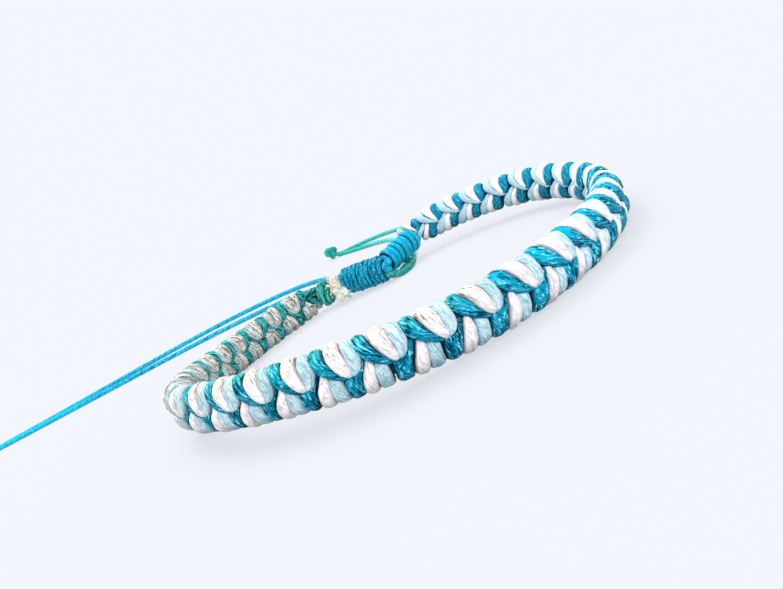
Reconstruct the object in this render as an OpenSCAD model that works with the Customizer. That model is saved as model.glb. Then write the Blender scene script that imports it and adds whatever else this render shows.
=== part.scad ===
// A braided string bracelet with a sliding knot, lying on its lower edge.
// Z = 0 is the surface it lies on; the origin is the middle of the loop.

/* [Loop] */
// Mean distance of the band's middle line from the centre of the loop
loop_r = 26.8; // [22:0.1:34]
// How far the loop departs from a circle, as a share of its radius
loop_oval = 0.06; // [0:0.01:0.1]
// Direction of the loop's long axis, degrees from +X
oval_turn = 17.5; // [0:0.5:90]
// How far the loop's left end stands out from the oval
left_swell = 0.9; // [0:0.1:1.5]
// How far the loop's right end is drawn in from the oval
right_dent = 0.5; // [0:0.1:1.5]
// How far the band arches off the surface at its two high stretches
lift_h = 2; // [0:0.1:3]
// Direction of the high stretch at the back, degrees
lift_back = 57; // [30:1:75]
// Direction of the high stretch at the front, degrees
lift_front = 222; // [200:1:240]
// Half of each high stretch, degrees
lift_reach = 75; // [50:1:75]

/* [Band] */
// Height of the braided band
band_h = 5.4; // [4:0.1:8]
// Thickness of the braided band
band_t = 3.7; // [3:0.1:5]
// Length of band that one stitch takes
stitch_pitch = 4.3; // [3.5:0.1:5]
// Number of stitches in each of the two rows
stitches = 35; // [20:1:36]
// Distance round the loop from +X to the first stitch
first_stitch = 59.4; // [58:0.1:62]
// How far a stitch of the upper row runs forward from its edge to the middle
lean_upper = 1.3; // [0.5:0.1:2.5]
// How far a stitch of the lower row runs forward from its edge to the middle
lean_lower = 1; // [0.5:0.1:2.5]
// Depth of the furrow between two stitches
furrow = 0.45; // [0.2:0.05:0.7]

/* [Closure] */
// Outer diameter of the sliding knot
knot_d = 4.7; // [4:0.1:4.8]
// Turns of string in the sliding knot
knot_turns = 9; // [6:1:12]
// Outer diameter of the whipping on the band's other end
whip_d = 4.1; // [3.5:0.1:4.2]
// Turns of string in the whipping
whip_turns = 6; // [4:1:8]
// Turns of green string that close the first end of the band
wrap_turns = 4; // [2:1:5]
// Depth of the grooves between turns
turn_groove = 0.16; // [0.05:0.01:0.3]

/* [Tails] */
// Diameter of one waxed string
cord_d = 1; // [0.8:0.1:1.2]
// Diameter of the knot at the end of a pair of strings
end_knot_d = 3.4; // [3:0.1:5]

/* [Hidden] */

cord_sides = 8;      // sides of a string's tube
turn_sides = 14;     // sides of the wound pieces
rings_a_turn = 4;    // rings of the mesh in one turn of string
rings_a_stitch = 6;  // rings of the mesh in one stitch
half_section = 7;    // points of a row's outline, from one face to the other
taper_len = 2.4;     // the band narrows over this length at each end
taper_depth = 0.3;   // and loses this share of its section there
waist = 0.5;         // depth of the groove between the two rows
loop_centre = [0.4, 0, 0]; // centre of the oval, from the middle of the loop as a whole
left_end = 200;      // direction of the loop's left end
right_end = 355;     // direction of its right end
end_reach = 45;      // half of the stretch that either end takes, degrees
table_end = 480;     // the last direction that the table of distances holds
edge_to_crest = 1.6; // from a stitch's mark to its crest, at the upper edge
// How far along the stitches are from even spacing, by their number
stitch_shift = [[0, 0.7], [3, 0.7], [6, -1.1], [10, 1.5], [15, 0], [19, 0.2], [23, -1.9],
                [28, -0.3], [31, 0.8], [34, 0.5]];

// The sliding knot's ends, the whipping's ends and the wrap's path
knot_a = [-7.7, 20.8, 2.8];
knot_b = [-1.3, 18.2, 2.4];
whip_a = [-0.2, 20.65, 2.65];
whip_b = [4.7, 24.9, 3.45];
wrap_path = [[-12.4, 21.1, 2.7], [-11.8, 20.9, 2.6], [-11.3, 20.7, 2.6], [-10.85, 20.5, 2.5]];
// Middle of the cut ends, and the knots at the tails' ends with the way they face
cut_at = [-9.5, 20, 2.7];
blue_knot_at = [-102.6, 48.6, 1.9];
blue_knot_way = [-1, -0.1, 0];
green_knot_at = [-14.5, 77.5, 1.9];
green_knot_way = [-1, 0.2, 0];

// Each tail's route, from its knot to its free end
blue_route_a = [
    [-7.4, 22, 3.4], [-8.3, 22.35, 3.7], [-9.3, 22.8, 3.7], [-10.2, 23.6, 3.3], [-10.8, 24.8, 2.4],
    [-11.2, 26.3, 1.4], [-11.5, 28.2, 0.7], [-11.8, 30.6, 0.5], [-12, 34, 0.5], [-12.4, 39.6, 0.5],
    [-13.4, 45, 0.5], [-15.8, 50.4, 0.5], [-19.8, 55, 0.5], [-25.4, 58.6, 0.5], [-32.4, 61, 0.5],
    [-40.2, 62.2, 0.5], [-48.2, 62.2, 0.5], [-56.2, 61, 0.5], [-64.2, 59, 0.5], [-72.2, 56.6, 0.5],
    [-80.2, 54.2, 0.5], [-88.2, 52, 0.5], [-94.6, 50.4, 0.5], [-100.8, 49.2, 0.5]];
blue_route_b = [
    [-7.4, 22.1, 2.1], [-8.4, 22.5, 2], [-9.4, 23, 1.7], [-10.4, 23.9, 1.2], [-11.3, 25.1, 0.65],
    [-12.3, 26.7, 0.5], [-13.2, 28.9, 0.5], [-13.9, 31.6, 0.5], [-14.5, 35.4, 0.5], [-15.6, 39.6, 0.5],
    [-18.2, 43.6, 0.5], [-22.4, 47.2, 0.5], [-28.2, 49.8, 0.5], [-35.2, 51.4, 0.5], [-43, 52.2, 0.5],
    [-51, 52.2, 0.5], [-59, 51.6, 0.5], [-67, 50.8, 0.5], [-75, 50, 0.5], [-83, 49.2, 0.5],
    [-90.6, 48.5, 0.5], [-96.6, 48, 0.5], [-100.8, 48, 0.5]];
green_route_a = [
    [-1.5, 17.3, 1.5], [-0.5, 17, 1], [0.6, 17.2, 0.6], [1.8, 18.05, 0.5], [2.7, 19.3, 0.5],
    [3.25, 20.9, 0.5], [3.6, 22.8, 0.5], [3.9, 25, 0.5], [4.2, 27.8, 0.5], [4.5, 31.4, 0.5],
    [4.9, 36, 0.5], [5.4, 41, 0.5], [6, 46.4, 0.5], [6.6, 52.4, 0.5], [6.6, 58.4, 0.5],
    [5.6, 64, 0.5], [3.3, 69, 0.5], [-0.2, 73, 0.5], [-4.4, 75.8, 0.5], [-8.8, 77.3, 0.5],
    [-12.6, 77.6, 0.5]];
green_route_b = [
    [-0.95, 18.25, 1.4], [0, 18.25, 0.8], [0.85, 18.9, 0.5], [1.5, 20.1, 0.5], [2.1, 21.5, 0.5],
    [2.5, 23.3, 0.5], [2.8, 25.4, 0.5], [2.95, 28, 0.5], [3, 31.4, 0.5], [2.8, 35.6, 0.5],
    [2.7, 40.2, 0.5], [2.8, 45, 0.5], [2.8, 49.8, 0.5], [2.2, 54.4, 0.5], [0.8, 58.8, 0.5],
    [-1.4, 62.8, 0.5], [-4.2, 66.4, 0.5], [-7.2, 69.8, 0.5], [-9.8, 73, 0.5], [-12.6, 76.4, 0.5]];

// The loop's middle line, seen from above, and its height off the surface
function off_peak(a, at) = abs((a - at + 540) % 360 - 180);
function arch(a, at, reach) =
    off_peak(a, at) < reach ? (1 + cos(180 * off_peak(a, at) / reach)) / 2 : 0;
function plan_r(a) = loop_r * (1 + loop_oval * cos(2 * (a - oval_turn)))
    + left_swell * arch(a, left_end, end_reach) - right_dent * arch(a, right_end, end_reach);
function plan(a) = loop_centre + plan_r(a) * [cos(a), sin(a), 0];
function lift(a) = lift_h * (arch(a, lift_back, lift_reach) + arch(a, lift_front, lift_reach));

// Distance round the loop against direction, one row a degree
loop_table = [for (i = 0, s = 0; i <= table_end; s = s + norm(plan(i + 1) - plan(i)), i = i + 1)
    [s, i]];
function angle_at(s) = lookup(s, loop_table);
function unit(v) = v / norm(v);
function middle(s) = let (a = angle_at(s)) plan(a) + [0, 0, lift(a) + band_h / 2];
function along(s) = let (a = angle_at(s)) unit(plan(a + 1) - plan(a - 1));
function outward(s) = let (t = along(s)) [t.y, -t.x, 0];

band_start = first_stitch - 1.8;
band_end = first_stitch + (stitches - 1) * stitch_pitch + 1.2;
band_rings = (stitches + 0.5) * rings_a_stitch;

// Number of the stitch by distance round the loop, one row a stitch
stitch_table = [for (k = [0 : stitches - 1])
    [first_stitch + k * stitch_pitch + lookup(k, stitch_shift), k]];
function stitch_at(s) =
    let (first = stitch_table[0][0], last = stitch_table[stitches - 1][0])
    s < first ? (s - first) / stitch_pitch
    : s > last ? stitches - 1 + (s - last) / stitch_pitch : lookup(s, stitch_table);

// 1 on the crest of a stitch and 0 in the furrow between two
function crest(s) = abs(cos(180 * stitch_at(s)));
function upper_crest(s, turn) = crest(s - edge_to_crest + lean_upper * turn / 90);
function lower_crest(s, turn) = crest(
    s - edge_to_crest - lean_upper + lean_lower + stitch_pitch / 2 + lean_lower * turn / 90);
function taper(s) = 1 - taper_depth * (1 - min(1, (s - band_start) / taper_len))
    - taper_depth * (1 - min(1, (band_end - s) / taper_len));

// One point of a row's outline: turn runs from -90 on the outer face over the edge to 90
function row_point(s, turn, up, ridge) =
    let (size = taper(s) * (1 - furrow * (1 - ridge) / (band_t / 2)))
    middle(s) + outward(s) * (-sin(turn)) * size * band_t / 2
        + [0, 0, up * pow(cos(turn), 0.8) * size * band_h / 2];
function waist_point(s, side) =
    middle(s) + outward(s) * side * taper(s) * (band_t / 2 - waist);
turns = [for (i = [0 : half_section - 1]) 180 * (i + 0.5) / half_section - 90];
function band_ring(s) = [
    waist_point(s, 1),
    for (turn = turns) row_point(s, turn, 1, upper_crest(s, turn)),
    waist_point(s, -1),
    for (turn = turns) row_point(s, -turn, -1, lower_crest(s, -turn))];

// A closed skin over rings of points, each ring running the same way round
module skin(rings) {
    n = len(rings[0]);
    last = len(rings) - 1;
    polyhedron(
        points = [for (ring = rings) each ring],
        faces = [
            [for (k = [0 : n - 1]) k],
            [for (k = [0 : n - 1]) (last + 1) * n - 1 - k],
            for (j = [0 : last - 1]) for (k = [0 : n - 1])
                each let (a = j * n + k, b = j * n + (k + 1) % n)
                    [[a, a + n, b], [b, a + n, b + n]]]);
}

// A round ring at point p facing along d, with a radius worked out from the angle
function ring(p, d, sides, radii) =
    let (side = unit(cross(d, [0, 0, 1])), up = cross(side, d))
    [for (k = [0 : sides - 1]) let (a = 360 * k / sides)
        p + radii[k] * (cos(a) * side + sin(a) * up)];
function even(r, sides) = [for (k = [0 : sides - 1]) r];
function heading(path, i) =
    unit(path[min(i + 1, len(path) - 1)] - path[max(i - 1, 0)]);

// A string along its route
module cord(route) {
    skin([for (i = [0 : len(route) - 1])
        ring(route[i], heading(route, i), cord_sides, even(cord_d / 2, cord_sides))]);
}

// String wound round a path, from diameter d1 to d2, its turns showing as a helix of grooves
module winding(path, d1, d2, count) {
    steps = count * rings_a_turn;
    spans = len(path) - 1;
    function place(t) = let (i = min(floor(t * spans), spans - 1), f = t * spans - i)
        path[i] * (1 - f) + path[i + 1] * f;
    function facing(t) = unit(place(min(1, t + 0.1)) - place(max(0, t - 0.1)));
    skin([for (j = [0 : steps]) let (
        t = j / steps,
        end_round = j == 0 || j == steps ? 2 * turn_groove : 0,
        r = (d1 * (1 - t) + d2 * t) / 2 - end_round)
        ring(place(t), facing(t), turn_sides, [for (k = [0 : turn_sides - 1])
            r - turn_groove * (1 + cos(360 * count * t - 360 * k / turn_sides))])]);
}

// A tight knot of doubled string, lobed where the strings cross over it
module lobed_knot(p, d, size) {
    rows = 9;
    sides = 12;
    lobe = 0.1;
    skin([for (j = [0 : rows]) let (t = 1.92 * j / rows - 0.96)
        ring(p + unit(d) * t * size * 0.55, unit(d), sides, [for (k = [0 : sides - 1])
            size / 2 * sqrt(1 - t * t) * (1 + lobe * cos(3 * 360 * k / sides + 160 * t))])]);
}

module braided_band()
    color("#1c9cc0") skin([for (j = [0 : band_rings])
        band_ring(band_start + (band_end - band_start) * j / band_rings)]);

module end_wrap()
    color("#2f9a90") winding(wrap_path, 4.2, 3.2, wrap_turns);

// Short frayed ends of the cream strings, standing out of a small core
module cut_ends() {
    core_d = 2.4;
    stub_d = 0.9;
    // direction round the core, tilt from level and length of each stub
    stubs = [[-110, -10, 2], [-75, 25, 1.9], [-100, 40, 2.1], [-150, 30, 1.9], [-80, 70, 2],
             [-130, 75, 1.9], [-70, -35, 1.9], [-125, -45, 1.8], [60, 70, 1.8]];
    color("#e6dccb") translate(cut_at) {
        sphere(d = core_d, $fn = 12);
        for (stub = stubs)
            rotate([0, 0, stub[0]]) rotate([0, 90 - stub[1], 0])
                cylinder(d = stub_d, h = stub[2], $fn = 6);
    }
}

module sliding_knot()
    color("#0f8fbd") winding([knot_a, knot_b], knot_d, knot_d, knot_turns);

module whipping()
    color("#0f8fbd") winding([whip_a, whip_b], whip_d, whip_d, whip_turns);

module blue_tail_a() color("#1596c4") cord(blue_route_a);
module blue_tail_b() color("#1596c4") cord(blue_route_b);
module green_tail_a() color("#35b3a4") cord(green_route_a);
module green_tail_b() color("#35b3a4") cord(green_route_b);

module blue_end_knot() color("#1596c4") lobed_knot(blue_knot_at, blue_knot_way, end_knot_d);
module green_end_knot() color("#35b3a4") lobed_knot(green_knot_at, green_knot_way, end_knot_d);

braided_band();
end_wrap();
cut_ends();
sliding_knot();
whipping();
blue_tail_a();
blue_tail_b();
green_tail_a();
green_tail_b();
blue_end_knot();
green_end_knot();
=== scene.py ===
# A braided string bracelet with a sliding knot, lying on a white table.
# Lengths are in millimetres until the meshes are made, and Z = 0 is the table.
import math
import random

import bpy
import numpy as np
from mathutils import Matrix


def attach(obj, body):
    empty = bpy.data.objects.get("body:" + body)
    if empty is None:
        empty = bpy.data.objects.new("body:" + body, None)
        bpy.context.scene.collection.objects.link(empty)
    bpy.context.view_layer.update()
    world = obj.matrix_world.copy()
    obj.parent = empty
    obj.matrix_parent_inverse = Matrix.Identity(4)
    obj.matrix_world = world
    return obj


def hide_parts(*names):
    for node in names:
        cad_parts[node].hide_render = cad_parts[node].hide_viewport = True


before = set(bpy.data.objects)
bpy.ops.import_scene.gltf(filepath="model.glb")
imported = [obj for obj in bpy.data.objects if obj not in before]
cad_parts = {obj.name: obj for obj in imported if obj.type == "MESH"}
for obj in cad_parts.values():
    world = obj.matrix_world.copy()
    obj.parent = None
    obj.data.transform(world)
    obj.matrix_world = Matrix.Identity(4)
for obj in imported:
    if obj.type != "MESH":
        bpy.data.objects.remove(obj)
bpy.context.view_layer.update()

MM = 0.001
dice = random.Random(7)

# The loop, as in the solids
LOOP_R = 26.8
LOOP_OVAL = 0.06
OVAL_TURN = 17.5
LOOP_CENTRE_X = 0.4
LEFT_SWELL = 0.9
RIGHT_DENT = 0.5
LEFT_END = 200
RIGHT_END = 355
END_REACH = 45
LIFT = 2.0
LIFT_PEAKS = (57, 222)
LIFT_REACH = 75
BAND_H = 5.4
BAND_T = 3.7
PITCH = 4.3
STITCHES = 35
FIRST_STITCH = 59.4
BEFORE_FIRST = 1.8
PAST_LAST = 1.2
BAND_START = FIRST_STITCH - BEFORE_FIRST
BAND_END = FIRST_STITCH + (STITCHES - 1) * PITCH + PAST_LAST
TAPER_LEN = 2.4
TAPER_DEPTH = 0.3

# The closure, as in the solids
KNOT = ((-7.7, 20.8, 2.8), (-1.3, 18.2, 2.4))
WHIP = ((-0.2, 20.65, 2.65), (4.7, 24.9, 3.45))
WRAP = ((-12.15, 21.05, 2.7), (-11.2, 20.65, 2.55))
KNOT_D = 4.7
KNOT_TURNS = 9
WHIP_D = 4.1
WHIP_TURNS = 6
CUT_AT = (-9.5, 20.0, 2.7)
BLUE_KNOT = ((-102.6, 48.6, 1.9), (-1, -0.1, 0))
GREEN_KNOT = ((-14.5, 77.5, 1.9), (-1, 0.2, 0))
END_KNOT_D = 3.4
CORD_D = 1.0

BLUE_A = (
    (-7.4, 22, 3.4), (-8.3, 22.35, 3.7), (-9.3, 22.8, 3.7), (-10.2, 23.6, 3.3), (-10.8, 24.8, 2.4),
    (-11.2, 26.3, 1.4), (-11.5, 28.2, 0.7), (-11.8, 30.6, 0.5), (-12, 34, 0.5), (-12.4, 39.6, 0.5),
    (-13.4, 45, 0.5), (-15.8, 50.4, 0.5), (-19.8, 55, 0.5), (-25.4, 58.6, 0.5), (-32.4, 61, 0.5),
    (-40.2, 62.2, 0.5), (-48.2, 62.2, 0.5), (-56.2, 61, 0.5), (-64.2, 59, 0.5), (-72.2, 56.6, 0.5),
    (-80.2, 54.2, 0.5), (-88.2, 52, 0.5), (-94.6, 50.4, 0.5), (-100.8, 49.2, 0.5))
BLUE_B = (
    (-7.4, 22.1, 2.1), (-8.4, 22.5, 2), (-9.4, 23, 1.7), (-10.4, 23.9, 1.2), (-11.3, 25.1, 0.65),
    (-12.3, 26.7, 0.5), (-13.2, 28.9, 0.5), (-13.9, 31.6, 0.5), (-14.5, 35.4, 0.5), (-15.6, 39.6, 0.5),
    (-18.2, 43.6, 0.5), (-22.4, 47.2, 0.5), (-28.2, 49.8, 0.5), (-35.2, 51.4, 0.5), (-43, 52.2, 0.5),
    (-51, 52.2, 0.5), (-59, 51.6, 0.5), (-67, 50.8, 0.5), (-75, 50, 0.5), (-83, 49.2, 0.5),
    (-90.6, 48.5, 0.5), (-96.6, 48, 0.5), (-100.8, 48, 0.5))
GREEN_A = (
    (-1.5, 17.3, 1.5), (-0.5, 17, 1), (0.6, 17.2, 0.6), (1.8, 18.05, 0.5), (2.7, 19.3, 0.5),
    (3.25, 20.9, 0.5), (3.6, 22.8, 0.5), (3.9, 25, 0.5), (4.2, 27.8, 0.5), (4.5, 31.4, 0.5),
    (4.9, 36, 0.5), (5.4, 41, 0.5), (6, 46.4, 0.5), (6.6, 52.4, 0.5), (6.6, 58.4, 0.5),
    (5.6, 64, 0.5), (3.3, 69, 0.5), (-0.2, 73, 0.5), (-4.4, 75.8, 0.5), (-8.8, 77.3, 0.5),
    (-12.6, 77.6, 0.5))
GREEN_B = (
    (-0.95, 18.25, 1.4), (0, 18.25, 0.8), (0.85, 18.9, 0.5), (1.5, 20.1, 0.5), (2.1, 21.5, 0.5),
    (2.5, 23.3, 0.5), (2.8, 25.4, 0.5), (2.95, 28, 0.5), (3, 31.4, 0.5), (2.8, 35.6, 0.5),
    (2.7, 40.2, 0.5), (2.8, 45, 0.5), (2.8, 49.8, 0.5), (2.2, 54.4, 0.5), (0.8, 58.8, 0.5),
    (-1.4, 62.8, 0.5), (-4.2, 66.4, 0.5), (-7.2, 69.8, 0.5), (-9.8, 73, 0.5), (-12.6, 76.4, 0.5))


def unit(v):
    return v / np.linalg.norm(v, axis=-1, keepdims=True)


def ease(x):
    """0 below 0, 1 above 1, and a smooth step between."""
    x = np.clip(x, 0, 1)
    return x * x * (3 - 2 * x)


def rounded(x, power):
    """A sine or cosine raised to a power with its sign kept."""
    return np.sign(x) * np.abs(x) ** power


def lengths(path):
    """Distance along a path at each of its points."""
    return np.concatenate([[0], np.cumsum(np.linalg.norm(np.diff(path, axis=0), axis=1))])


def spaced(path, count):
    """The same path with its points equally far apart."""
    far = lengths(path)
    at = np.linspace(0, far[-1], count)
    return np.stack([np.interp(at, far, path[:, i]) for i in range(path.shape[1])], axis=1)


def hermite(u, gap, start, end, slope_start, slope_end):
    """The smooth way from start to end with these slopes, at the share u of the gap between them."""
    return ((1 + 2 * u) * (1 - u) ** 2 * start + u * (1 - u) ** 2 * gap * slope_start
            + u * u * (3 - 2 * u) * end + u * u * (u - 1) * gap * slope_end)


def smooth(points, count):
    """A smooth curve through the points, as count equally spaced ones."""
    steps = 24
    p = np.array(points, float)
    t = lengths(p)
    slope = np.gradient(p, t, axis=0)
    fine = []
    for i in range(len(p) - 1):
        gap = t[i + 1] - t[i]
        u = np.linspace(0, 1, steps, endpoint=i == len(p) - 2)[:, None]
        fine.append(hermite(u, gap, p[i], p[i + 1], slope[i], slope[i + 1]))
    return spaced(np.concatenate(fine), count)


def carried(path):
    """Two directions across a path at each point, carried along it without twisting."""
    ahead = unit(np.gradient(path, axis=0))
    side = np.cross(ahead[0], (0, 0, 1))
    if np.linalg.norm(side) < 0.1:
        side = np.cross(ahead[0], (1, 0, 0))
    sides = []
    for d in ahead:
        side = side - d * np.dot(side, d)
        side = side / np.linalg.norm(side)
        sides.append(side)
    sides = np.array(sides)
    return sides, np.cross(sides, ahead)


class Skin:
    """Tubes collected into one mesh, with what the materials need to know of each point:
    fibre is where it is in the string, along and across, turning with the string's lay,
    around is where it is round the string, to the side and outward, and place is the share of the
    loop, the height in the band and a number of the string's own."""

    # A rough string swells and shrinks by this many waves, whose heights add up to about this much
    WAVES = 7
    WAVES_SUM = 2.6

    def __init__(self):
        self.points, self.faces, self.count = [], [], 0
        self.fibre, self.around, self.place = [], [], []

    def tube(self, path, across, outward, half_w, half_h, sides, plies=0, relief=0.0, lay=0.0,
             place=(0, 0, 0), rough=0.0, square=1.0):
        """A tube along the path. plies and relief are how many yarns stand out of it and how far,
        lay is the length in which they go round once, rough is how uneven it is, and a square
        below 1 makes its section less round."""
        rings = len(path)
        far = lengths(path)
        half_w = np.broadcast_to(half_w, rings)
        half_h = np.broadcast_to(half_h, rings)
        turn = np.linspace(0, 2 * math.pi, sides, endpoint=False)[None, :]
        lain = turn - (2 * math.pi * far / lay if lay else 0 * far)[:, None]
        size = 1 + relief * np.cos(plies * lain)
        for _ in range(self.WAVES if rough else 0):
            bundle, run, start = dice.randint(2, 8), dice.uniform(-5, 5), dice.uniform(0, 6.28)
            size = size + rough / self.WAVES_SUM * np.cos(bundle * lain + run * far[:, None] + start)
        wide = (half_w[:, None] * size * rounded(np.cos(turn), square))[..., None]
        high = (half_h[:, None] * size * rounded(np.sin(turn), square))[..., None]
        points = path[:, None, :] + wide * across[:, None, :] + high * outward[:, None, :]
        r = ((half_w + half_h) / 2).max()
        fibre = np.stack([
            np.broadcast_to(far[:, None], lain.shape), r * np.cos(lain), r * np.sin(lain)], axis=-1)
        around = np.stack([np.cos(turn), np.sin(turn), 0 * turn], axis=-1)
        around = np.broadcast_to(around, fibre.shape)
        place = np.stack([
            np.broadcast_to(np.reshape(p, (-1, 1)), lain.shape) for p in place], axis=-1)
        j, k = np.meshgrid(np.arange(rings - 1), np.arange(sides), indexing="ij")
        a, b = j * sides + k, j * sides + (k + 1) % sides
        quads = np.stack([a, b, b + sides, a + sides], axis=-1).reshape(-1, 4)
        caps = [list(range(sides))[::-1], [(rings - 1) * sides + i for i in range(sides)]]
        middle = rings // 2
        ahead = path[middle + 1] - path[middle - 1]
        facing = np.dot(np.cross(across[middle], outward[middle]), ahead)
        faces = (quads + self.count).tolist()
        faces += [[i + self.count for i in cap] for cap in caps]
        if facing < 0:
            faces = [f[::-1] for f in faces]
        self.faces += faces
        self.points.append(points.reshape(-1, 3))
        self.fibre.append(fibre.reshape(-1, 3))
        self.around.append(around.reshape(-1, 3))
        self.place.append(place.reshape(-1, 3))
        self.count += rings * sides

    def piece(self, name, look, slot, *nodes):
        """The mesh as an object that rides on the bracelet and stands for the nodes."""
        mesh = bpy.data.meshes.new(name)
        mesh.from_pydata((np.concatenate(self.points) * MM).tolist(), [], self.faces)
        for label, values in (("fibre", self.fibre), ("around", self.around), ("place", self.place)):
            layer = mesh.attributes.new(label, "FLOAT_VECTOR", "POINT")
            layer.data.foreach_set("vector", np.concatenate(values).astype(np.float32).ravel())
        mesh.materials.append(look)
        mesh.shade_smooth()
        piece = bpy.data.objects.new(name, mesh)
        bpy.context.scene.collection.objects.link(piece)
        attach(piece, "root")
        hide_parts(*nodes)
        return piece


def camera():
    """Where the photograph was taken from, 70 mm in front of the loop's middle."""
    place = (2.771, -70.156, 18.360)
    turned, down, rolled = 3.183, 12.990, -27.788
    focal_px, width_px = 558.2, 783
    data = bpy.data.cameras.new("camera")
    data.sensor_width = 36
    data.lens = focal_px / width_px * data.sensor_width
    data.clip_start = 0.005
    data.clip_end = 20
    view = bpy.data.objects.new("camera", data)
    bpy.context.scene.collection.objects.link(view)
    view.matrix_world = (
        Matrix.Translation([x * MM for x in place])
        @ Matrix.Rotation(math.radians(turned), 4, "Z")
        @ Matrix.Rotation(math.radians(90 - down), 4, "X")
        @ Matrix.Rotation(math.radians(rolled), 4, "Z"))
    bpy.context.scene.camera = view


def srgb(code):
    """A colour written as #rrggbb, as the linear numbers that a node takes."""
    parts = [int(code[i:i + 2], 16) / 255 for i in (1, 3, 5)]
    return [x / 12.92 if x <= 0.04045 else ((x + 0.055) / 1.055) ** 2.4 for x in parts] + [1]


class Look:
    """A material under way: each method adds a node and gives back its output."""

    def __init__(self, name):
        self.material = bpy.data.materials.new(name)
        self.material.use_nodes = True
        self.tree = self.material.node_tree
        self.shader = self.tree.nodes["Principled BSDF"]

    def node(self, kind, inputs, **settings):
        made = self.tree.nodes.new(kind)
        for key, value in settings.items():
            setattr(made, key, value)
        for key, value in inputs.items():
            if isinstance(value, bpy.types.NodeSocket):
                self.tree.links.new(value, made.inputs[key])
            else:
                made.inputs[key].default_value = value
        return made

    def attribute(self, name):
        return self.node("ShaderNodeAttribute", {}, attribute_name=name).outputs["Vector"]

    def split(self, vector):
        return self.node("ShaderNodeSeparateXYZ", {0: vector}).outputs

    def stretched(self, vector, scale):
        return self.node("ShaderNodeVectorMath", {0: vector, 1: scale}, operation="MULTIPLY").outputs[0]

    def moved(self, vector, by):
        return self.node("ShaderNodeVectorMath", {0: vector, 1: by}, operation="ADD").outputs[0]

    def noise(self, vector, stretch, detail=2.0, rough=0.5, output="Fac"):
        return self.node("ShaderNodeTexNoise", {
            "Vector": self.stretched(vector, stretch), "Scale": 1.0, "Detail": detail,
            "Roughness": rough}).outputs[output]

    def math(self, operation, a, b=0.0):
        return self.node("ShaderNodeMath", {0: a, 1: b}, operation=operation).outputs[0]

    def between(self, value, low, high, to_low=0.0, to_high=1.0):
        """A smooth step from to_low to to_high as the value goes from low to high."""
        return self.node("ShaderNodeMapRange", {
            "Value": value, "From Min": low, "From Max": high, "To Min": to_low, "To Max": to_high},
            interpolation_type="SMOOTHSTEP").outputs["Result"]

    def ramp(self, value, stops):
        made = self.node("ShaderNodeValToRGB", {"Fac": value})
        marks = made.color_ramp.elements
        while len(marks) < len(stops):
            marks.new(0.5)
        for mark, (at, code) in zip(marks, stops):
            mark.position = at
            mark.color = srgb(code)
        return made.outputs["Color"]

    def mixed(self, amount, a, b, how="MIX"):
        made = self.tree.nodes.new("ShaderNodeMix")
        made.data_type = "RGBA"
        made.blend_type = how
        for socket, value in ((made.inputs[0], amount), (made.inputs[6], a), (made.inputs[7], b)):
            if isinstance(value, bpy.types.NodeSocket):
                self.tree.links.new(value, socket)
            else:
                socket.default_value = value
        return made.outputs[2]

    def multiplied(self, amount, colour, code):
        """The colour, changed by this amount towards itself multiplied by another."""
        return self.mixed(amount, colour, self.mixed(1.0, colour, srgb(code), "MULTIPLY"))

    def bump(self, height, depth_mm):
        made = self.node("ShaderNodeBump", {"Height": height, "Distance": depth_mm * MM, "Strength": 1.0})
        self.set("Normal", made.outputs["Normal"])

    def set(self, socket, value):
        if isinstance(value, bpy.types.NodeSocket):
            self.tree.links.new(value, self.shader.inputs[socket])
        else:
            self.shader.inputs[socket].default_value = value


# How fast each kind of noise changes along, across and out of a string, in waves a millimetre
FIBRES = (1.5, 6, 6)
YARNS = (0.6, 2.4, 2.4)
GRAIN = (4, 5, 5)
WAVER = (1.1, 1.6, 1.6)
DARK_FIBRES = (0.7, 5, 5)
STAINS = (0.8, 5, 5)
# How far the fibres waver, in millimetres
WAVERED = (0.6, 0.7, 0.7)
# From this share of the loop on, the fibres show half as much
CALM_FROM = 0.74
CALM_BY = 0.8
# How far along its noise each string starts, times its own number
OWN_START = 40.0


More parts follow.
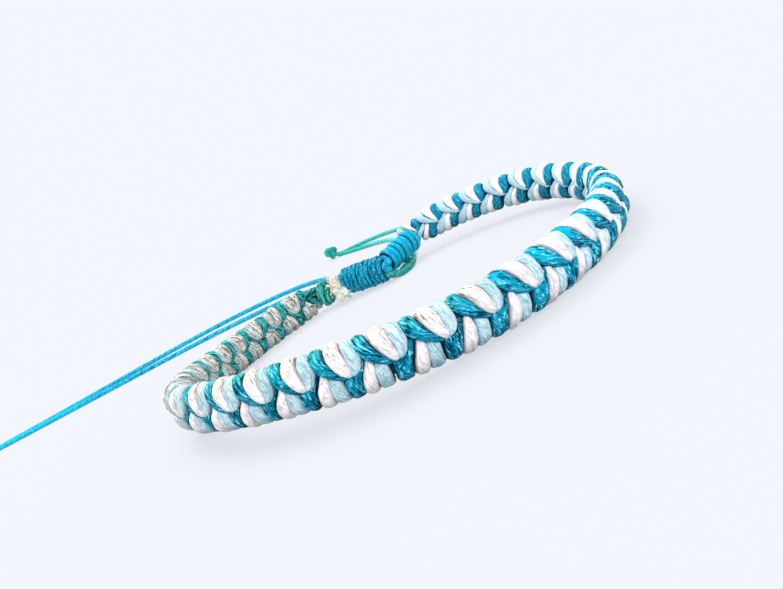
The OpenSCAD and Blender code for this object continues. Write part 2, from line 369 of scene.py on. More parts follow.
def string_look(name, tones, dark, painted_glint, rough, depth, tops=None, lines=None, specks=None, low=None,
                groove_shade=None, side_shade=None, shine=0.1):
    """Waxed twisted string. tones are colours by share of the loop, dark is what the furrows between
    fibres are multiplied by, partly their own darker tone and partly painted shade in the furrows, and
    glint is a painted highlight: the colour of the brightest fibres and how much it shows.
    rough, depth and shine are its roughness, its furrows' depth in millimetres and its gloss.
    low is painted shade: what the band's middle and its lowest edge are multiplied by. crease is
    painted shade that a string's sides are multiplied by, and groove is the same painted shade in the
    grooves of wound string.
    tops, lines and specks are the tint of the upper edge, dark fibres and small stains. tops and specks
    are a colour, how much, and the shares of the loop where they begin and end, and lines are a
    colour, how much, the least noise that shows, and the share of the loop where they end."""
    look = Look(name)
    fibre, place = look.attribute("fibre"), look.attribute("place")
    share, rise, own = look.split(place)
    drift = look.node("ShaderNodeCombineXYZ", {0: look.math("MULTIPLY", own, OWN_START), 1: own})
    apart = look.moved(fibre, drift.outputs[0])
    waver = look.moved(look.noise(apart, WAVER, output="Color"), (-0.5, -0.5, -0.5))
    apart = look.moved(apart, look.stretched(waver, WAVERED))
    fibres = look.noise(apart, FIBRES, detail=3, rough=0.65)
    yarns = look.noise(apart, YARNS, detail=1)
    grain = look.noise(apart, GRAIN, rough=0.6)
    furrows = look.math("ADD", look.math("MULTIPLY", fibres, 0.7), look.math("MULTIPLY", yarns, 0.3))
    colour = look.ramp(share, tones)
    if tops:
        code, amount, begin, end = tops
        edge = look.math("ADD", rise, look.math("MULTIPLY", yarns, 0.6))
        near = look.math("MULTIPLY", look.between(share, end + 0.01, end - 0.01),
                         look.between(share, begin - 0.1, begin))
        tinted = look.math("MULTIPLY", look.between(edge, 0.85, 1.3), near)
        colour = look.mixed(look.math("MULTIPLY", tinted, amount), colour, srgb(code))
    # Painted shade: the band is darker towards its middle and its lowest edge.
    if low:
        middle_shade, lower_edge_shade = low
        colour = look.multiplied(look.between(rise, 0.95, 0.1), colour, middle_shade)
        colour = look.multiplied(look.between(rise, -0.45, -1.0), colour, lower_edge_shade)
    shown = look.between(share, CALM_FROM, CALM_BY, 1.0, 0.5)
    # The furrows are darker: partly the fibres' own tone, partly painted shade in the furrows.
    deep = look.math("MULTIPLY", look.between(furrows, 0.55, 0.38), shown)
    colour = look.multiplied(deep, colour, dark)
    # Painted highlight: the brightest fibres are mixed towards a light glint colour.
    code, amount = painted_glint
    glint_spots = look.math("MULTIPLY", look.between(fibres, 0.52, 0.64), look.between(grain, 0.44, 0.57))
    glint_spots = look.math("MULTIPLY", glint_spots, shown)
    colour = look.mixed(look.math("MULTIPLY", glint_spots, amount), colour, srgb(code))
    if lines:
        code, amount, least, end = lines
        thin = look.noise(apart, DARK_FIBRES, rough=0.7)
        dirty = look.math("MULTIPLY", look.between(thin, least, least + 0.1),
                          look.between(share, end, end - 0.1))
        colour = look.mixed(look.math("MULTIPLY", dirty, amount), colour, srgb(code))
    if specks:
        code, amount, begin, end = specks
        spots = look.noise(apart, STAINS, rough=0.7)
        near = look.math("MULTIPLY", look.between(share, end + 0.03, end),
                         look.between(share, begin - 0.03, begin))
        stained = look.math("MULTIPLY", look.between(spots, 0.57, 0.62), look.between(rise, 0.5, 0.85))
        stained = look.math("MULTIPLY", stained, near)
        colour = look.mixed(look.math("MULTIPLY", stained, amount), colour, srgb(code))
    # Painted shade in the creases: a string's sides, towards its neighbours, are darker.
    if side_shade:
        beside = look.math("ABSOLUTE", look.split(look.attribute("around"))[0])
        colour = look.multiplied(look.between(beside, 0.72, 0.99), colour, side_shade)
    # Painted shade in the grooves between the turns of wound string.
    if groove_shade:
        colour = look.multiplied(look.between(look.split(fibre)[2], 0.34, 0.12), colour, groove_shade)
    look.set("Base Color", colour)
    look.set("Roughness", rough)
    look.set("Specular IOR Level", shine)
    look.bump(look.math("ADD", furrows, look.math("MULTIPLY", grain, 0.35)), depth)
    return look.material


TEAL = string_look(
    "teal_string",
    [(0, "#2ea69a"), (0.19, "#30aea4"), (0.25, "#12aebe"), (0.32, "#00a6bc"), (0.4, "#00a4be"),
     (0.5, "#00a6c4"), (0.56, "#00b6d4"), (0.62, "#00a8c6"), (0.72, "#08b0ce"), (0.8, "#0098b6"),
     (1, "#0094b2")],
    "#083e56", ("#98f4ff", 0.95), 0.42, 0.16,
    tops=("#3cb8b0", 0.8, 0.2, 0.52), low=("#bed4da", "#94a4ae"), side_shade="#6c929e", shine=0.03)
CREAM = string_look(
    "cream_string",
    [(0, "#e0dcce"), (0.22, "#e2dcd0"), (0.3, "#f2eae6"), (0.55, "#f2ecec"), (0.7, "#faf6f8"),
     (1, "#f6f4f6")],
    "#d4cfd0", ("#ffffff", 0.5), 0.6, 0.11,
    tops=("#f4e0cc", 0.8, 0.3, 0.52), lines=("#404236", 0.85, 0.48, 0.34),
    specks=("#64442e", 0.8, 0.3, 0.52), low=("#fafafa", "#c2bebe"), side_shade="#d2cecf")
PALE = string_look(
    "pale_string",
    [(0, "#ccd4cc"), (0.2, "#ccd8d4"), (0.3, "#bcd2d6"), (0.5, "#bcd8de"), (0.62, "#d4ebf3"),
     (0.75, "#bcd8e0"), (1, "#b4d2da")],
    "#b4cdd0", ("#ffffff", 0.5), 0.6, 0.14,
    lines=("#464c40", 0.75, 0.49, 0.3), low=("#fcfdfe", "#a8bcc4"), side_shade="#c2ccd0")
BLUE = string_look(
    "blue_string", [(0, "#00b2d2"), (0.9, "#00b6d2"), (1, "#14bccc")],
    "#2f8aa8", ("#8cecff", 0.7), 0.42, 0.12)
# The wound strings' tones go by the place that each winding and what fills it is given; what fills a
# winding gets a darker tone, painted shade between the turns
BLUE_WOUND = string_look(
    "blue_string_wound",
    [(0, "#0094b0"), (0.3, "#0094b0"), (0.4, "#006a84"), (0.6, "#006a84"), (0.7, "#0eaaca"),
     (1, "#0eaaca")],
    "#3f88a0", ("#90ecfc", 0.65), 0.4, 0.08, groove_shade="#185870", shine=0.05)
GREEN = string_look(
    "green_string",
    [(0, "#0e8a80"), (0.09, "#149084"), (0.16, "#68dcd2"), (0.6, "#62d6cc"), (0.8, "#30b8ac"),
     (1, "#1ca092")],
    "#7fbab0", ("#c4f6ee", 0.6), 0.45, 0.10)
# What fills the wrap is given the darker tone, painted shade between its turns.
WRAP_GREEN = string_look(
    "wrap_green", [(0, "#30b4a4"), (0.4, "#30b4a4"), (0.5, "#14786a"), (1, "#14786a")],
    "#4c9080", ("#b4f0e0", 0.7), 0.45, 0.12, groove_shade="#4c9080")
CUT_CREAM = string_look(
    "cut_cream", [(0, "#eee4d8"), (1, "#dfe9df")],
    "#bcaa98", ("#ffffff", 0.5), 0.7, 0.1)
# The core is dark teal as painted shade for the braid's shaded inside, with a faint painted highlight.
CORE = string_look(
    "core_shade", [(0, "#064a3f"), (0.3, "#004456"), (1, "#004a66")],
    "#5f8a94", ("#2f7f94", 0.2), 0.6, 0.05)

# The tails' string is laid from three yarns
TAIL_LAY = {"plies": 3, "relief": 0.05, "lay": 4.2}
TAIL_SIDES = 20


def string_tube(route, knot_at, count, look, slot, name, kept):
    """One string of a pair of tails, from the closure into the knot at its free end."""
    last, knot_at = np.array(route[-1]), np.array(knot_at)
    into = [tuple(last + share * (knot_at - last)) for share in (0.4, 0.75)]
    path = smooth(list(route) + into, count)
    path[:, 2] = np.maximum(path[:, 2], CORD_D / 2)
    far = lengths(path)
    across, up = carried(path)
    skin = Skin()
    skin.tube(path, across, up, CORD_D / 2, CORD_D / 2, TAIL_SIDES,
              place=(far / far[-1], 0, dice.random()), **TAIL_LAY)
    piece = skin.piece(name, look, slot, kept)


def end_knot(name, look, slot, node, spot, way):
    """The two strings of a pair tied together in an overhand knot pulled tight."""
    string_r = 0.54
    half_gap = 0.22
    t = np.linspace(half_gap, 2 * math.pi - half_gap, 90)
    trefoil = np.stack([
        np.sin(t) + 2 * np.sin(2 * t), np.cos(t) - 2 * np.cos(2 * t), -1.15 * np.sin(3 * t)], 1)
    toward = unit(np.array(way, float))
    side = unit(np.cross(toward, (0, 0, 1)))
    up = np.cross(side, toward)
    half = END_KNOT_D / 2
    size = (half - 0.55) / 3
    path = np.array(spot) + size * (
        trefoil[:, :1] * toward * 1.05 + trefoil[:, 1:2] * up * 0.95 + trefoil[:, 2:] * side * 1.5)
    skin = Skin()
    across, out = carried(path)
    for lean in (-0.2, 0.24):
        skin.tube(path + across * lean, across, out, string_r, string_r, 16,
                  place=(1, 0, dice.random()), **TAIL_LAY)
    return skin.piece(name, look, slot, node)


def pairs_of_tails():
    for colour, look, (spot, way), strings in (
            ("blue", BLUE, BLUE_KNOT, (("a", BLUE_A, 240), ("b", BLUE_B, 230))),
            ("green", GREEN, GREEN_KNOT, (("a", GREEN_A, 140), ("b", GREEN_B, 140)))):
        slot = f"{colour}_string"
        knot = end_knot(f"{slot}_knot", look, slot, f"{colour}_end_knot", spot, way)
        for letter, route, count in strings:
            name, kept = f"{slot}_{letter}", f"{colour}_tail_{letter}"
            string_tube(route, spot, count, look, slot, name, kept)


# The loop's middle line, one row a degree
DEGREES = np.arange(481)


def arch(a, at, reach):
    """1 at an angle, and down to 0 at this reach to both sides of it."""
    off = np.abs((a - at + 540) % 360 - 180)
    return np.where(off < reach, (1 + np.cos(np.pi * off / reach)) / 2, 0)


def plan(a):
    """The loop's middle line seen from above, at these angles in degrees."""
    a = np.asarray(a, float)
    r = (LOOP_R * (1 + LOOP_OVAL * np.cos(np.radians(2 * (a - OVAL_TURN))))
         + LEFT_SWELL * arch(a, LEFT_END, END_REACH) - RIGHT_DENT * arch(a, RIGHT_END, END_REACH))
    a = np.radians(a)
    return np.stack([LOOP_CENTRE_X + r * np.cos(a), r * np.sin(a), 0 * a], axis=-1)


FAR_ROUND = lengths(plan(DEGREES))


def angle_at(s):
    """The angle round the loop at a distance along it."""
    return np.interp(s, FAR_ROUND, DEGREES)


def lift(a):
    """How far the band's lower edge is off the table at an angle."""
    return LIFT * sum(arch(a, peak, LIFT_REACH) for peak in LIFT_PEAKS)


def middle(s):
    """The band's middle at a distance along the loop."""
    a = angle_at(s)
    line = plan(a)
    line[..., 2] = lift(a) + BAND_H / 2
    return line


def along(s):
    """The way that the band runs at a distance along the loop."""
    a = angle_at(s)
    return unit(plan(a + 1) - plan(a - 1))


def outward(s):
    """The way out of the loop at a distance along it."""
    t = along(s)
    return np.stack([t[..., 1], -t[..., 0], 0 * t[..., 0]], axis=-1)


def taper(s):
    """The band's size at a distance along the loop, below 1 near its ends."""
    near_start = 1 - np.clip((s - BAND_START) / TAPER_LEN, 0, 1)
    near_end = 1 - np.clip((BAND_END - s) / TAPER_LEN, 0, 1)
    return 1 - TAPER_DEPTH * (near_start + near_end)


# How far the stitches are from even spacing, by their number, as in the solids
STITCH_SHIFT = ((0, 0.7), (3, 0.7), (6, -1.1), (10, 1.5), (15, 0), (19, 0.2), (23, -1.9),
                (28, -0.3), (31, 0.8), (34, 0.5))

# Each stitch's three strings in the order of the braid, in the upper and in the lower row. Each
# runs over the band's edge and down both faces: on the face where it leans far and on the one where
# it leans little, its middle and half its width are given at these shares of the way from the edge
# to the band's middle line, the last being the tip. Places are along the band from the stitch's
# own mark.
SHARES = (0, 0.35, 0.7, 1)
UPPER = (
    {"thick": 0.60, "outer": ((0.05, 0.25, 0.82, 1.70, 2.10), (0.74, 0.84, 0.82, 0.68, 0.30), 1.14),
     "inner": ((0.05, -0.05, -0.10, 0.05, 0.15), (0.74, 0.76, 0.74, 0.42, 0.16), 1.10)},
    {"thick": 0.60, "outer": ((1.60, 1.80, 2.05, 2.34, 2.42), (0.74, 0.78, 0.64, 0.44, 0.20), 1.14),
     "inner": ((1.60, 1.43, 0.90, 0.30, 0.20), (0.74, 0.74, 0.52, 0.36, 0.18), 1.12)},
    {"thick": 0.62, "outer": ((3.04, 3.10, 3.10, 2.84, 2.66), (0.72, 0.74, 0.68, 0.50, 0.26), 1.12),
     "inner": ((3.04, 2.93, 2.23, 0.80, 0.35), (0.72, 0.84, 0.94, 0.74, 0.30), 1.14)})
LOWER = (
    {"thick": 0.62, "outer": ((-1.96, -1.78, -1.62, -1.20, -0.30), (0.76, 0.82, 0.90, 0.88, 0.26), 1.30),
     "inner": ((-1.96, -2.12, -2.55, -2.95, -3.00), (0.76, 0.78, 0.82, 0.70, 0.36), 1.16)},
    {"thick": 0.60, "outer": ((-0.66, -0.48, -0.20, 0.08, 0.30), (0.74, 0.68, 0.62, 0.50, 0.26), 1.28),
     "inner": ((-0.66, -0.82, -1.30, -1.82, -1.90), (0.74, 0.64, 0.52, 0.42, 0.20), 1.18)},
    {"thick": 0.62, "outer": ((0.80, 0.80, 0.92, 1.05, 1.15), (0.80, 0.74, 0.68, 0.62, 0.36), 1.20),
     "inner": ((0.80, 0.46, -0.15, -0.90, -1.35), (0.80, 0.80, 0.84, 0.68, 0.26), 1.24)})
# The middle of a stitch's three strings at the same shares of the way
CRESTS = {"outer": (1.60, 1.75, 1.95, 2.30, 2.40), "inner": (1.60, 1.45, 1.05, 0.40, 0.20)}
LOWER_CRESTS = {"outer": (-0.55, -0.45, -0.25, 0.00, 0.30), "inner": (-0.55, -0.85, -1.35, -1.90, -2.10)}
# Before this stitch the two faces change places
FIRST_FACING_OUT = 7
ROUND_RINGS = 44
SIDES = (28, 24, 24)
PLIES = (6, 5, 5)
RELIEF = (0.02, 0.006, 0.006)
# By row, 1 the upper and -1 the lower: the length in which the yarns go round once, how deep the
# furrow between two stitches is at the edge and on the face, and how far the tips dip in
LAY = {1: (9, 14, 14), -1: (-16, -14, -14)}
FURROW = {1: (0.12, 0.4), -1: (0.1, 0.25)}
TUCK = {1: 0.15, -1: 0.4}
# The shares of the way from the edge to the middle line where the furrow is at its full depth,
# where the tips begin to dip and over how much of the way they do, and where the strings begin to
# lie flat again and over how much of the way they do
FURROW_FULL = 0.45
TUCK_FROM, TUCK_OVER = 0.8, 0.35
FLAT_FROM, FLAT_OVER = 0.6, 0.4
# A tip is rounded off over this share of the way, on an arc that is a little longer
TIP_LEN, TIP_ARC = 0.07, 0.074
# A string narrower than this to each side is thinner as well
NARROW_BELOW = 0.5
# How far the band's faces dip in at the middle line, and from how many degrees below the edge on
WAIST_DIP = 0.12
DIP_FROM = 46
# How much the strings differ from each other in size, and how far they stray from their marks
UNEVEN = 0.03
STRAY = 0.05
# Round these stitches the teal strings are wider and lie over the other two
PLUMP_AT = 23.8
PLUMP_REACH = 3.4
PLUMPER = (0.45, -0.08, -0.25)
PROUD = (0.16, 0, -0.05)
# Round these ones the lower row's teal strings are narrower and the other two wider
SLIM_AT = 10.6
SLIM_REACH = 2.6
SLIMMER = (-0.25, 0.1, 0.16)


def section_path(thick, past):
    """A string's way round half the section, as outward and upward from the band's middle, from its
    end under the other row on the outer face, over the edge, to its end on the inner face. With it
    comes the share of the way from the edge to the middle line, below 0 on the inner face."""
    to_edge, past_middle = 60, 12
    n0, z0 = BAND_T / 2 - thick, BAND_H / 2 - thick
    turn = np.radians(np.linspace(-90, 90, 2 * to_edge + 1))
    dip = WAIST_DIP * ease((np.abs(turn) - math.radians(DIP_FROM)) / math.radians(90 - DIP_FROM))
    over = np.stack([
        -np.sin(turn) * n0 + np.sign(turn) * dip, np.maximum(np.cos(turn), 0) ** 0.8 * z0], 1)
    far = lengths(over)
    outer, inner = far[to_edge], far[-1] - far[to_edge]
    tuck = np.linspace(1, 0, past_middle, endpoint=False)
    under = np.stack([np.full(past_middle, n0 - WAIST_DIP), -tuck], 1)
    path = np.concatenate([
        under * (1, (past[0] - 1) * outer), over, under[::-1] * (-1, (past[1] - 1) * inner)])
    far = lengths(path)
    path = spaced(path, ROUND_RINGS)
    gone = far[past_middle + to_edge] - lengths(path)
    return path, np.where(gone > 0, gone / outer, gone / inner)


def through(x, places, values):
    """A smooth curve through the values at the places."""
    slope = np.gradient(values, places)
    i = np.clip(np.searchsorted(places, x) - 1, 0, len(places) - 2)
    places, values = np.array(places), np.array(values)
    gap = places[i + 1] - places[i]
    u = np.clip((x - places[i]) / gap, 0, 1)
    return hermite(u, gap, values[i], values[i + 1], slope[i], slope[i + 1])


def braid_string(skin, number, up, kind):
    """One string of one stitch. up is 1 in the upper row and -1 in the lower."""
    kit, crests = (UPPER[kind], CRESTS) if up > 0 else (LOWER[kind], LOWER_CRESTS)
    faces = ("outer", "inner") if number >= FIRST_FACING_OUT else ("inner", "outer")
    thick = kit["thick"] * (1 + dice.gauss(0, UNEVEN))
    path, share = section_path(thick, [kit[face][2] for face in faces])
    far = np.abs(share)
    s, half_w, crest = np.zeros((3, ROUND_RINGS))
    tip = np.ones(ROUND_RINGS)
    for face, here in zip(faces, (share > 0, share <= 0)):
        middles, widths, end = kit[face]
        shares = SHARES + (end,)
        s[here] = through(far[here], shares, middles)
        half_w[here] = through(far[here], shares, widths)
        crest[here] = through(far[here], shares, crests[face])
        past = np.maximum(far[here] - end + TIP_LEN, 0) / TIP_ARC
        tip[here] = np.sqrt(np.maximum(1 - past ** 2, 0.02))
    off = 2 * math.pi * (s - crest) / PITCH
    low, high = FURROW[up]
    furrow = low + (high - low) * ease(far / FURROW_FULL)
    sink = furrow * (1 - np.cos(off)) / 2 + TUCK[up] * ease((far - TUCK_FROM) / TUCK_OVER)
    steep = furrow * math.pi / PITCH * np.sin(off) * (1 - ease((far - FLAT_FROM) / FLAT_OVER))
    mark = FIRST_STITCH + PITCH * number + np.interp(number, *zip(*STITCH_SHIFT)) + dice.gauss(0, STRAY)
    s = s + mark
    half_w = half_w * tip * (1 + dice.gauss(0, UNEVEN))
    half_h = thick * tip * np.clip(half_w / NARROW_BELOW, 0.5, 1)
    size = taper(s)
    tangent = unit(np.gradient(path, axis=0))
    facing = np.stack([tangent[:, 1], -tangent[:, 0]], 1)
    facing = facing * np.sign(facing[ROUND_RINGS // 2, 1])
    sunk = path - facing * sink[:, None]
    out, t = outward(s), along(s)
    upright = np.array([0, 0, up])
    plump = math.exp(-((number - PLUMP_AT) / PLUMP_REACH) ** 2)
    slim = math.exp(-((number - SLIM_AT) / SLIM_REACH) ** 2) if up < 0 else 0
    half_w = half_w * (1 + PLUMPER[kind] * plump + SLIMMER[kind] * slim)
    waves, start = dice.uniform(1.5, 3), dice.uniform(0, 6)
    lump = (1 + UNEVEN * np.sin(np.linspace(0, 2 * math.pi, ROUND_RINGS) * waves + start)) * size
    away = unit(facing[:, :1] * out + facing[:, 1:] * upright)
    centre = (middle(s) + (sunk[:, :1] * out + sunk[:, 1:] * upright) * size[:, None]
              + away * PROUD[kind] * plump)
    across = unit(t - steep[:, None] * away)
    away = unit(away + steep[:, None] * t)
    whole = (mark - BAND_START) / (BAND_END - BAND_START)
    rise = up * sunk[:, 1] / (BAND_H / 2 - thick)
    place = (np.full(ROUND_RINGS, whole), rise, dice.random())
    skin.tube(centre, across, away, half_w * lump, half_h * lump, SIDES[kind], plies=PLIES[kind],
              relief=RELIEF[kind], lay=LAY[up][kind], place=place, rough=0.035, square=0.84)


def strand(skin, points, r, place):
    """A short run of one string."""
    path = smooth(points, 40)
    across, up = carried(path)
    skin.tube(path, across, up, r, r, 16, plies=3, relief=0.04, lay=6, place=place, rough=0.03)


# The strings that run from the band's first stitches into the green wrap: which of the three
# they are, and how far outward and upward from the band's middle
RUNS_IN = ((0, -0.6, 1.1), (0, 0.6, 1.05), (2, -0.6, -1.1), (1, 0.6, -1.1))
RUN_R = 0.64
# Where they pass, as the distance past the band's start and what their places are multiplied by
# there, and what they are multiplied by in the wrap
RUN_MARKS = ((3.6, 0.8), (2.2, 1), (1.0, 1), (0, 0.9))
APART_IN_WRAP = 0.6


def runs_in(skins):
    """The short runs of string from the band into the green wrap."""
    for kind, out, up in RUNS_IN:
        points = []
        for past, apart in RUN_MARKS:
            s = BAND_START + past
            points.append(middle(s) + (outward(s) * out + np.array([0, 0, up])) * apart)
        aside = (outward(BAND_START) * out + np.array([0, 0, up])) * APART_IN_WRAP
        for end in np.array(WRAP):
            points.append(end + aside)
        strand(skins[kind], points, RUN_R, (0.01, 1 if up > 0 else 0.3, dice.random()))


def braid():
    """The band's strings, one piece for each of the three colours."""
    skins = [Skin(), Skin(), Skin()]
    runs_in(skins)
    for number in range(STITCHES):
        for kind in range(3):
            braid_string(skins[kind], number, 1, kind)
            braid_string(skins[kind], number, -1, kind)
    skins[0].piece("teal_strings", TEAL, "teal_string", "braided_band")
    skins[1].piece("cream_strings", CREAM, "cream_string", "braided_band")
    skins[2].piece("pale_strings", PALE, "pale_string", "braided_band")


def core():
    """What shows between the strings, thin where the strings run into the green wrap. Its dark teal is
    painted shade inside the braid.
    """
    rings = 110
    half_w, half_h = 0.8, 1.8
    s = np.linspace(BAND_START + 0.2, BAND_END - 0.4, rings)
    narrow = 0.4 + 0.6 * ease((s - BAND_START) / 3)
    share = (s - BAND_START) / (BAND_END - BAND_START)
    skin = Skin()
    skin.tube(middle(s), outward(s), np.broadcast_to([0.0, 0.0, 1.0], (rings, 3)),
              half_w * narrow, half_h * taper(s) * narrow, 20, place=(share, 0, 0.5))
    skin.piece("band_core", CORE, "teal_string", "braided_band")


# The wound strings: half their thickness, how many rings each turn has, how far a turn that closes
# the end moves on, and how near the middle it ends, in shares of their half thickness
WOUND_R = 0.5
RINGS_A_TURN = 30
CLOSING_STEP = 0.12
CLOSED_AT = 0.4


def coil(skin, path, d1, d2, turns, place, swell=0.0, slack=0.0, start=0.0, closing=1.5, apart=1.03):
    """String wound closely round a path, its outer diameter going from d1 to d2. At both ends it winds
    inward for closing turns more, which closes the end. swell and slack are how much wider it is in
    its middle and how unevenly it is pulled, start is the share of a turn that it starts at, and
    apart is the string's width in shares of the room that a turn has."""
    count = int((turns + 2 * closing) * RINGS_A_TURN)
    wound = np.linspace(-closing, turns + closing, count)
    t = np.clip(wound / turns, 0, 1)
    inward = np.maximum(np.maximum(-wound, wound - turns), 0)
    path = np.array(path, float)
    far = lengths(path)
    line = np.stack([np.interp(t * far[-1], far, path[:, i]) for i in range(3)], axis=1)
    ahead = np.broadcast_to(unit(path[-1] - path[0]), line.shape)
    side = unit(np.cross(ahead, (0, 0, 1)))
    up = np.cross(side, ahead)
    line = line + ahead * (CLOSING_STEP * inward * np.sign(wound - turns / 2))[:, None]
    r = (d1 * (1 - t) + d2 * t) / 2 - WOUND_R + swell * np.sin(math.pi * t)
    r = r * (1 - inward / closing) + WOUND_R * CLOSED_AT * inward / closing
    r = r + slack * np.sin(2 * math.pi * turns * t * 0.37 + 1.3)
    a = 2 * math.pi * (wound + start)
    radial = np.cos(a)[:, None] * side + np.sin(a)[:, None] * up
    faced = math.pi / 2 * ease(inward / 0.6) * np.sign(wound - turns / 2)
    out = radial * np.cos(faced)[:, None] + ahead * np.sin(faced)[:, None]
    across = ahead * np.cos(faced)[:, None] - radial * np.sin(faced)[:, None]
    half = far[-1] / turns / 2 * apart
    wide = half + (WOUND_R - half) * np.sin(np.abs(faced))
    skin.tube(line + radial * r[:, None], across, out, wide, WOUND_R, 18, place=place, rough=0.03)


def filling(skin, path, d1, d2, place):
    """What shows between the turns of a coil, with round ends past its first and last turn. The darker
    tone that its place gives it is painted shade between the turns.
    """
    count, past = 24, 0.1
    line = spaced(np.array(path, float), count)
    ahead = unit(np.gradient(line, axis=0))
    side = unit(np.cross(ahead, (0, 0, 1)))
    t = np.linspace(0, 1, count)
    line = line + ahead * (past * (2 * t - 1))[:, None]
    length = lengths(line)[-1]
    near_end = np.clip(1 - np.minimum(t, 1 - t) * length / (2 * past), 0, 1)
    r = (d1 * (1 - t) + d2 * t) / 2 * np.sqrt(np.maximum(1 - near_end ** 3, 0.02))
    skin.tube(line, side, np.cross(side, ahead), r, r, 24, place=place, rough=0.03)


# The three strings from the knot to the whipping: how far aside and up from its middle
PAST_KNOT = ((-0.55, 0.4), (0.5, 0.45), (0, -0.6))
PAST_KNOT_R = 0.62
# The outer diameter of the green wrap's first and last turn
WRAP_D = (4.5, 4.1)
WRAP_TURNS = 1.5
# How much less the diameter of what fills a winding is than that of the winding
KNOT_FILL, WHIP_FILL, WRAP_FILL = 0.9, 0.8, 0.9


def knot_turns():
    skin = Skin()
    outer, inner = KNOT_D - 0.25, KNOT_D - KNOT_FILL
    coil(skin, KNOT, outer, outer, KNOT_TURNS, (0, 0, 0.31), swell=0.12, slack=0.06)
    filling(skin, KNOT, inner, inner, (0.5, 0, 0.5))
    skin.piece("knot_turns", BLUE_WOUND, "blue_string", "sliding_knot")


def strings_past_the_knot():
    skin = Skin()
    knot, whip = np.array(KNOT), np.array(WHIP)
    ahead, on = unit(knot[1] - knot[0]), unit(whip[1] - whip[0])
    for side, up in PAST_KNOT:
        aside = np.array([side, side, up])
        points = [knot[1] - ahead + aside, knot[1] + ahead * 0.35 + aside,
                  whip[0] - on * 0.2 + aside, whip[0] + on + aside]
        strand(skin, points, PAST_KNOT_R, (0.1, 0, dice.random()))
    skin.piece("strings_past_the_knot", BLUE, "blue_string", "sliding_knot")


def whipping_turns():
    skin = Skin()
    inner = WHIP_D - WHIP_FILL
    coil(skin, WHIP, WHIP_D - 0.1, WHIP_D, WHIP_TURNS, (1, 0, 0.77), slack=0.1, apart=0.96)
    filling(skin, WHIP, inner, inner, (0.5, 0, 0.5))
    skin.piece("whipping_turns", BLUE_WOUND, "blue_string", "whipping")


def wrap_turns():
    skin = Skin()
    first, last = WRAP_D
    coil(skin, WRAP, first, last, WRAP_TURNS, (0.2, 0, 0.11), slack=0.1, start=0.3, closing=1)
    filling(skin, WRAP, first - WRAP_FILL, last - WRAP_FILL, (0.6, 0, 0.5))
    skin.piece("wrap_turns", WRAP_GREEN, "green_string", "end_wrap")


# The cut ends by the way they point, in degrees round and up, how long they are and their tint
STUBS = ((-105, -12, 2.4, 0.9), (-75, 25, 2.0, 0.2), (-100, 40, 2.3, 0), (-150, 30, 1.7, 0),
         (-80, 70, 2.7, 0), (-130, 75, 2.7, 0), (-62, -28, 3.3, 1), (-95, -40, 3.3, 0.8),
         (-45, -48, 2.8, 1), (60, 70, 2.3, 0.1))
STUB_R = 0.76
STUB_SHARE = 0.86
STUB_FIBRES = 22
STUB_RINGS = 9
# The lump that the stubs grow from: its radius, and the way to its ends
LUMP_R = 1.2
LUMP_REACH = (0.9, 0.3, 0)


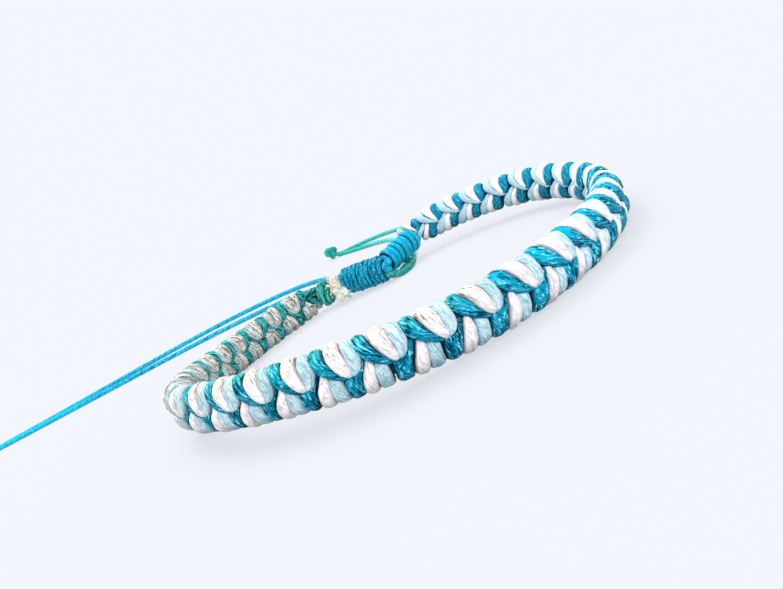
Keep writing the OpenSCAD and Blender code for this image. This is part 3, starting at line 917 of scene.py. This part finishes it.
def cut_fibres():
    """The short cream ends: thick stubs of string that fray at their tips."""
    skin = Skin()
    centre = np.array(CUT_AT)
    t = np.linspace(0, 1, STUB_RINGS)
    for turned, tilt, reach, tint in STUBS:
        a, b = math.radians(turned), math.radians(tilt)
        way = np.array([math.cos(a) * math.cos(b), math.sin(a) * math.cos(b), math.sin(b)])
        line = centre + way * reach * STUB_SHARE * t[:, None]
        across, out = carried(line)
        r = STUB_R * np.sqrt(np.clip(1.02 - t ** 4, 0.05, 1))
        skin.tube(line, across, out, r, r, 16, plies=4, relief=0.09, lay=5,
                  place=(tint, 0.2, dice.random()), rough=0.09)
        for _ in range(STUB_FIBRES):
            begin = centre + way * reach * dice.uniform(0.3, 0.6)
            spread = np.array([dice.gauss(0, 0.2) for _ in range(3)])
            bend = np.array([dice.gauss(0, 0.22) for _ in range(3)])
            far = reach * dice.uniform(0.16, 0.32)
            path = (begin + way * far * t[:, None] + spread * (0.9 + 0.5 * t[:, None])
                    + bend * t[:, None] ** 2)
            thin = 0.16 - 0.06 * t
            across, out = carried(path)
            skin.tube(path, across, out, thin, thin, 6, place=(tint, 0.2, dice.random()))
    line = centre + np.linspace(-1, 1, STUB_RINGS)[:, None] * np.array(LUMP_REACH)
    across, out = carried(line)
    r = LUMP_R * np.sqrt(np.clip(1 - np.linspace(-0.97, 0.97, STUB_RINGS) ** 2, 0, 1)) + 0.05
    skin.tube(line, across, out, r, r, 16, plies=5, relief=0.06, lay=6, place=(0.1, 0.2, 0.4))
    skin.piece("cut_string_ends", CUT_CREAM, "cream_string", "cut_ends")


def sun(name, share, spread, lean, turned, tint):
    """A wide soft lamp, far away, that adds this share of white to the table. It is this many
    degrees wide, leans this far from straight down, and is turned this far round."""
    lamp = bpy.data.lights.new(name, "SUN")
    lamp.angle = math.radians(spread)
    lamp.energy = math.pi * share / math.cos(math.radians(lean))
    lamp.color = tint
    placed = bpy.data.objects.new(name, lamp)
    placed.rotation_euler = (math.radians(lean), 0, math.radians(turned))
    bpy.context.scene.collection.objects.link(placed)


def surroundings():
    """A white table that meets the white of the room, and light as soft as in a light tent."""
    white = (0.895, 0.920, 0.975)
    tint = [x / max(white) for x in white]
    over, front, glow = 0.60, 0.36, 0.66
    world = bpy.data.worlds.new("room")
    world.use_nodes = True
    background = world.node_tree.nodes["Background"].inputs
    background["Color"].default_value = (*white, 1)
    background["Strength"].default_value = 1.0
    bpy.context.scene.world = world
    sun("light_from_above", over, spread=40, lean=-24, turned=35, tint=tint)
    sun("light_from_the_front", front, spread=70, lean=50, turned=10, tint=tint)
    look = Look("table_white")
    look.set("Base Color", [(1 - glow) / (1 + (over + front) / max(white))] * 3 + [1])
    look.set("Roughness", 0.9)
    look.set("Emission Color", (*white, 1))
    look.set("Emission Strength", glow)
    look.set("Specular IOR Level", 0.0)
    mesh = bpy.data.meshes.new("table")
    far = 1.6
    mesh.from_pydata([(-far, -far, 0), (far, -far, 0), (far, far, 0), (-far, far, 0)], [], [(0, 1, 2, 3)])
    mesh.materials.append(look.material)
    table = bpy.data.objects.new("table", mesh)
    bpy.context.scene.collection.objects.link(table)
    bpy.context.scene.view_settings.view_transform = "Standard"


camera()
pairs_of_tails()
braid()
core()
knot_turns()
strings_past_the_knot()
whipping_turns()
wrap_turns()
cut_fibres()
surroundings()
